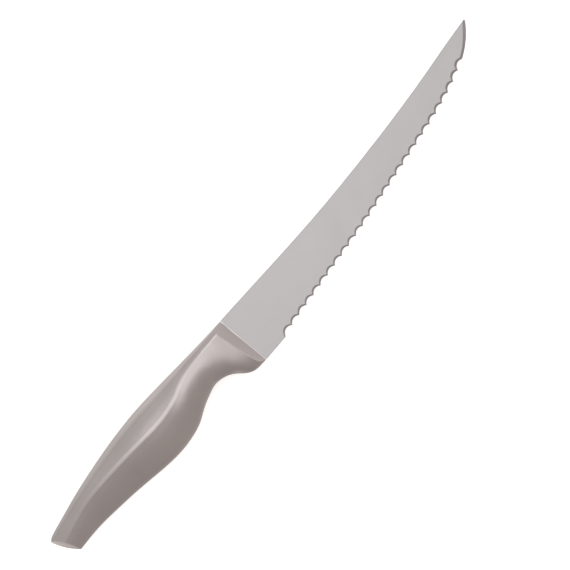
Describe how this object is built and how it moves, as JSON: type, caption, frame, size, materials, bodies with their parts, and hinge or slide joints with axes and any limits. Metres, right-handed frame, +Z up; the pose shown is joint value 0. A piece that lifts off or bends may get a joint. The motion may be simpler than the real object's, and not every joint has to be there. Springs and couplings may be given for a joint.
{
  "type": "bread knife",
  "caption": "All-steel bread knife with a scalloped blade and a hollow ridged handle with a finger groove and a slanted butt.",
  "frame": {"origin": "centre of the bounding box, on the surface that the knife lies on", "axes": "+X from the butt to the blade's tip, +Y from the cutting edge to the spine, +Z up, out of the blade's right-hand face"},
  "size_m": [0.33, 0.035, 0.0172],
  "materials": {
    "blade_steel": "satin",
    "handle_steel": "satin",
    "cap_steel": "satin",
    "weld_steel": "satin",
    "sand": "matte"
  },
  "bodies": {
    "root": {"blade": "blade_steel", "bolster": "handle_steel", "blade_weld": "weld_steel", "handle_shell_right": "handle_steel", "handle_shell_left": "handle_steel", "handle_seam_weld": "handle_steel", "butt_cap": "cap_steel", "sand_fill": "sand"}
  },
  "joints": []
}
